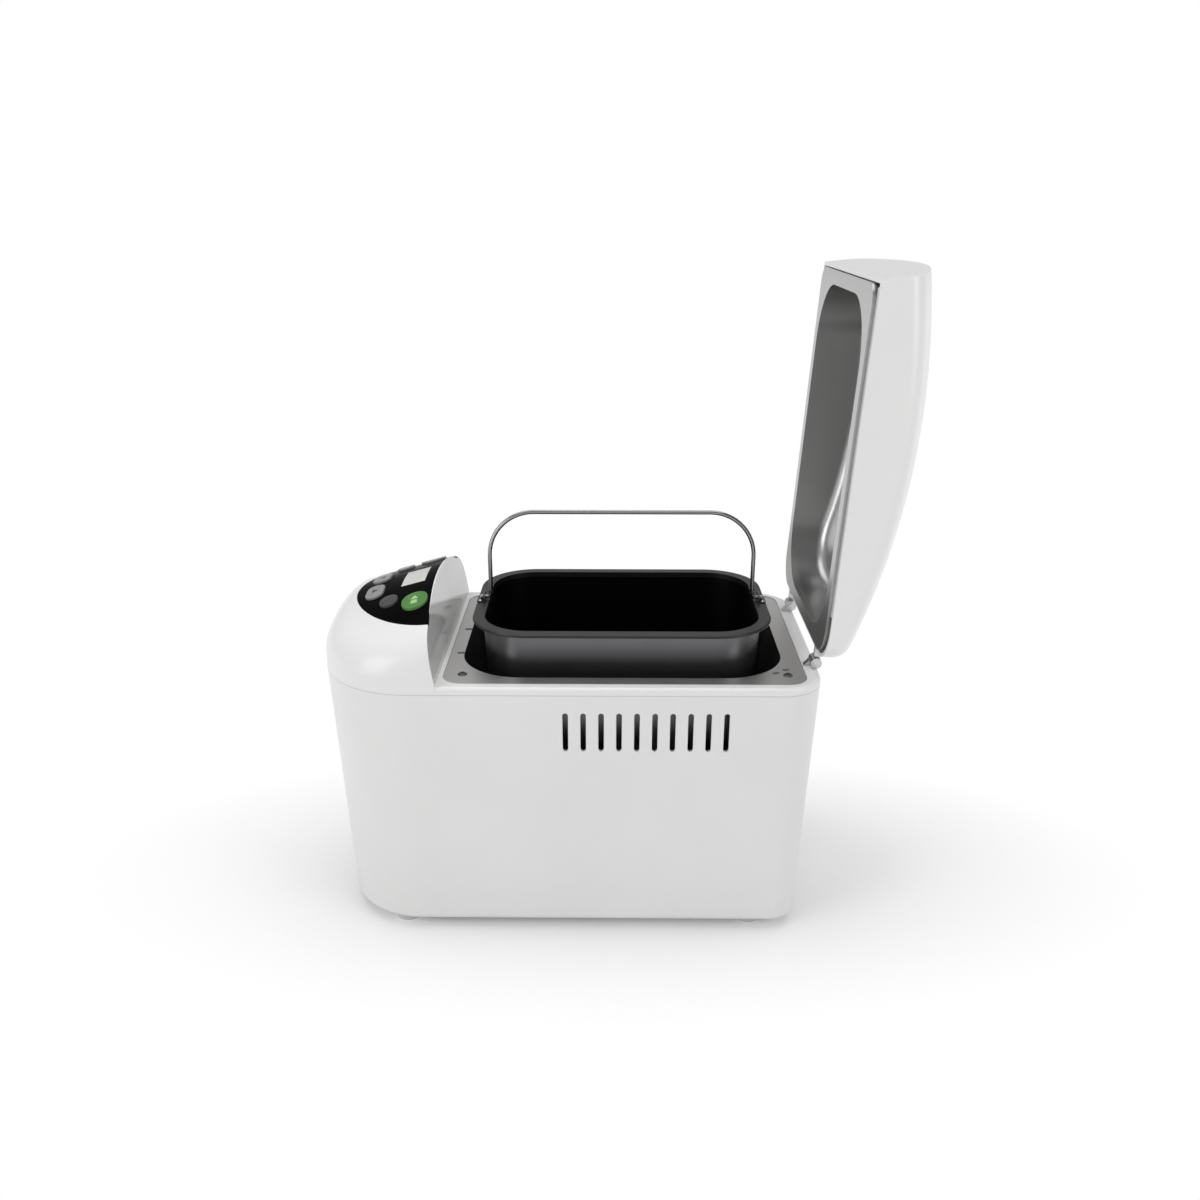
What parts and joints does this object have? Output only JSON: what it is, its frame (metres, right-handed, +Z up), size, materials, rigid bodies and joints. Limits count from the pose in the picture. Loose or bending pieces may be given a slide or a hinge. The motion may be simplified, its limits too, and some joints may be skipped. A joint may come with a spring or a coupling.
{
  "type": "bread machine",
  "caption": "White horizontal bread machine with a hinged domed lid, sloping control console and a lift-out non-stick pan with a wire handle.",
  "frame": {"origin": "on the worktop under the middle of the machine as it stands with its lid open", "axes": "+Z up, +X towards the lid's hinge, console at -X, vented long side at -Y"},
  "size_m": [0.4325, 0.204, 0.485],
  "materials": {
    "housing_white": "moulded, light satin",
    "cover_white": "moulded, gloss",
    "lid_white": "moulded, gloss",
    "base_white": "moulded, matt",
    "foot_rubber": "soft, matt",
    "gland_black": "matt",
    "panel_black": "high gloss",
    "window_clear": "clear, grey green",
    "display_grey": "liquid crystal module",
    "board_green": "solder mask",
    "switch_black": "matt",
    "key_green": "satin",
    "key_grey": "satin",
    "key_light": "satin",
    "deck_metal": "satin",
    "chamber_metal": "bright sheet",
    "element_steel": "oxidised tube",
    "support_steel": "plain",
    "sensor_steel": "plain",
    "seat_metal": "cast",
    "frame_steel": "zinc plated",
    "bearing_metal": "cast",
    "shaft_steel": "ground",
    "pulley_plastic": "moulded",
    "motor_metal": "laminations and end caps",
    "belt_rubber": "ribbed",
    "coupling_metal": "cast",
    "capacitor_plastic": "moulded case",
    "pan_dark": "non-stick coat",
    "pan_base_metal": "cast",
    "bushing_metal": "turned",
    "paddle_dark": "non-stick coat",
    "handle_chrome": "bright",
    "liner_metal": "grey flange, bright cavity",
    "hinge_steel": "plated"
  },
  "bodies": {
    "machine": {"main_housing": "housing_white", "base_plate": "base_white", "foot_front_right": "foot_rubber", "foot_front_left": "foot_rubber", "foot_rear_right": "foot_rubber", "foot_rear_left": "foot_rubber", "cord_gland": "gland_black", "top_cover": "cover_white", "control_panel": "panel_black", "display_window": "window_clear", "display_module": "display_grey", "control_board": "board_green", "key_switches": "switch_black", "deck_plate": "deck_metal", "oven_chamber": "chamber_metal", "heating_element": "element_steel", "element_supports": "support_steel", "temperature_sensor": "sensor_steel", "pan_seat": "seat_metal", "drive_frame": "frame_steel", "bearing_housing": "bearing_metal", "motor": "motor_metal", "drive_belt": "belt_rubber", "capacitor": "capacitor_plastic", "power_board": "board_green", "hinge_bracket_right": "hinge_steel", "hinge_bracket_left": "hinge_steel", "hinge_pin_right": "hinge_steel", "hinge_pin_left": "hinge_steel"},
    "lid": {"lid_shell": "lid_white", "lid_liner": "liner_metal", "hinge_arm_right": "hinge_steel", "hinge_arm_left": "hinge_steel"},
    "pan": {"bread_pan": "pan_dark", "pan_base": "pan_base_metal", "pan_bushing": "bushing_metal", "handle_ear_front": "pan_dark", "handle_ear_rear": "pan_dark"},
    "bail": {"bail_handle": "handle_chrome"},
    "kneader": {"pan_spindle": "shaft_steel", "kneading_paddle": "paddle_dark"},
    "drive": {"drive_shaft": "shaft_steel", "drive_pulley": "pulley_plastic", "drive_coupling": "coupling_metal"},
    "motor_rotor": {"motor_shaft": "shaft_steel", "motor_pulley": "pulley_plastic"},
    "start_key": {"start_button": "key_green"},
    "menu_key": {"menu_button": "key_grey"},
    "size_key": {"size_button": "key_grey"},
    "colour_key": {"colour_button": "key_grey"},
    "timer_up_key": {"timer_up_button": "key_light"},
    "timer_down_key": {"timer_down_button": "key_light"}
  },
  "joints": [
    {"name": "lid_hinge", "type": "hinge", "parent": "machine", "child": "lid", "pos_m": [0.14576, 0, 0.21], "axis": [0, 1, 0], "range_deg": [-93.7, 0]},
    {"name": "pan_lift", "type": "slide", "parent": "machine", "child": "pan", "axis": [0, 0, 1], "range_m": [0, 0.16]},
    {"name": "bail_fold", "type": "hinge", "parent": "pan", "child": "bail", "pos_m": [0.00476, 0, 0.2374], "axis": [1, 0, 0], "range_deg": [-90.4, 90.4]},
    {"name": "drive_spin", "type": "hinge", "parent": "machine", "child": "drive", "pos_m": [0.00476, 0, 0.05], "axis": [0, 0, 1], "continuous": true},
    {"name": "motor_spin", "type": "hinge", "parent": "machine", "child": "motor_rotor", "pos_m": [-0.16124, 0, 0.05], "axis": [0, 0, 1], "continuous": true},
    {"name": "paddle_spin", "type": "hinge", "parent": "pan", "child": "kneader", "pos_m": [0.00476, 0, 0.1], "axis": [0, 0, 1], "continuous": true},
    {"name": "start_press", "type": "slide", "parent": "machine", "child": "start_key", "axis": [0.2689, 0, -0.9632], "range_m": [0, 0.0012], "stiffness_N_per_m": 800},
    {"name": "menu_press", "type": "slide", "parent": "machine", "child": "menu_key", "axis": [0.2689, 0, -0.9632], "range_m": [0, 0.0012], "stiffness_N_per_m": 800},
    {"name": "size_press", "type": "slide", "parent": "machine", "child": "size_key", "axis": [0.2689, 0, -0.9632], "range_m": [0, 0.0012], "stiffness_N_per_m": 800},
    {"name": "colour_press", "type": "slide", "parent": "machine", "child": "colour_key", "axis": [0.2689, 0, -0.9632], "range_m": [0, 0.0012], "stiffness_N_per_m": 800},
    {"name": "timer_up_press", "type": "slide", "parent": "machine", "child": "timer_up_key", "axis": [0.2689, 0, -0.9632], "range_m": [0, 0.0012], "stiffness_N_per_m": 800},
    {"name": "timer_down_press", "type": "slide", "parent": "machine", "child": "timer_down_key", "axis": [0.2689, 0, -0.9632], "range_m": [0, 0.0012], "stiffness_N_per_m": 800}
  ],
  "couplings": [
    {"joint": "bail_fold", "follows": "lid_hinge", "ratio": 0.96478},
    {"joint": "motor_spin", "follows": "drive_spin", "ratio": 5.5556},
    {"joint": "paddle_spin", "follows": "drive_spin", "ratio": 1}
  ]
}
